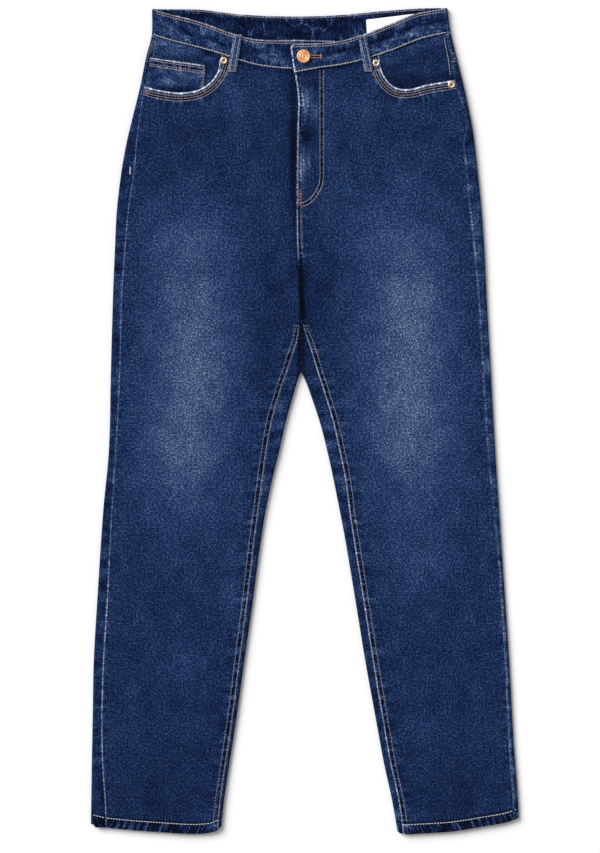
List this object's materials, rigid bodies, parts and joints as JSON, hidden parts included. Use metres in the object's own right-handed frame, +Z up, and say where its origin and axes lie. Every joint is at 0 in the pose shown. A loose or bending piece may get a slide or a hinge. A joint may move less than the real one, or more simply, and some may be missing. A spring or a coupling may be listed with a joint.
{
  "type": "mom jeans",
  "caption": "High-waisted denim jeans laid flat with the front up, with tapered legs, scooped front pockets, a coin pocket, belt loops and a buttoned fly.",
  "frame": {"origin": "the middle of the garment's outline, on the surface that it lies on", "axes": "+X to the wearer's left, +Y from the hems towards the waist, +Z up, out of the front of the garment"},
  "size_m": [0.5342, 1.0316, 0.0124],
  "materials": {
    "denim": "indigo twill denim, washed, with faded thighs and worn seams",
    "thread": "thick tan sewing thread, and orange in the buttonhole and bar tacks",
    "zip_tape": "dark woven zip tape",
    "label_cloth": "bare white woven label",
    "copper": "brushed copper plating",
    "nickel": "worn nickel plating"
  },
  "bodies": {
    "root": {"front_left": "denim", "front_right": "denim", "back_left": "denim", "back_right": "denim", "yoke_left": "denim", "yoke_right": "denim", "waistband": "denim", "pocket_facing_left": "denim", "pocket_facing_right": "denim", "coin_pocket": "denim", "back_pocket_left": "denim", "back_pocket_right": "denim", "belt_loop_front_left": "denim", "belt_loop_front_right": "denim", "belt_loop_back_left": "denim", "belt_loop_back_right": "denim", "belt_loop_centre_back": "denim", "zip": "zip_tape", "label": "label_cloth", "button": "copper", "rivet_right_pocket": "copper", "rivet_left_pocket_side": "copper", "rivet_left_pocket_inner": "nickel"}
  },
  "joints": []
}
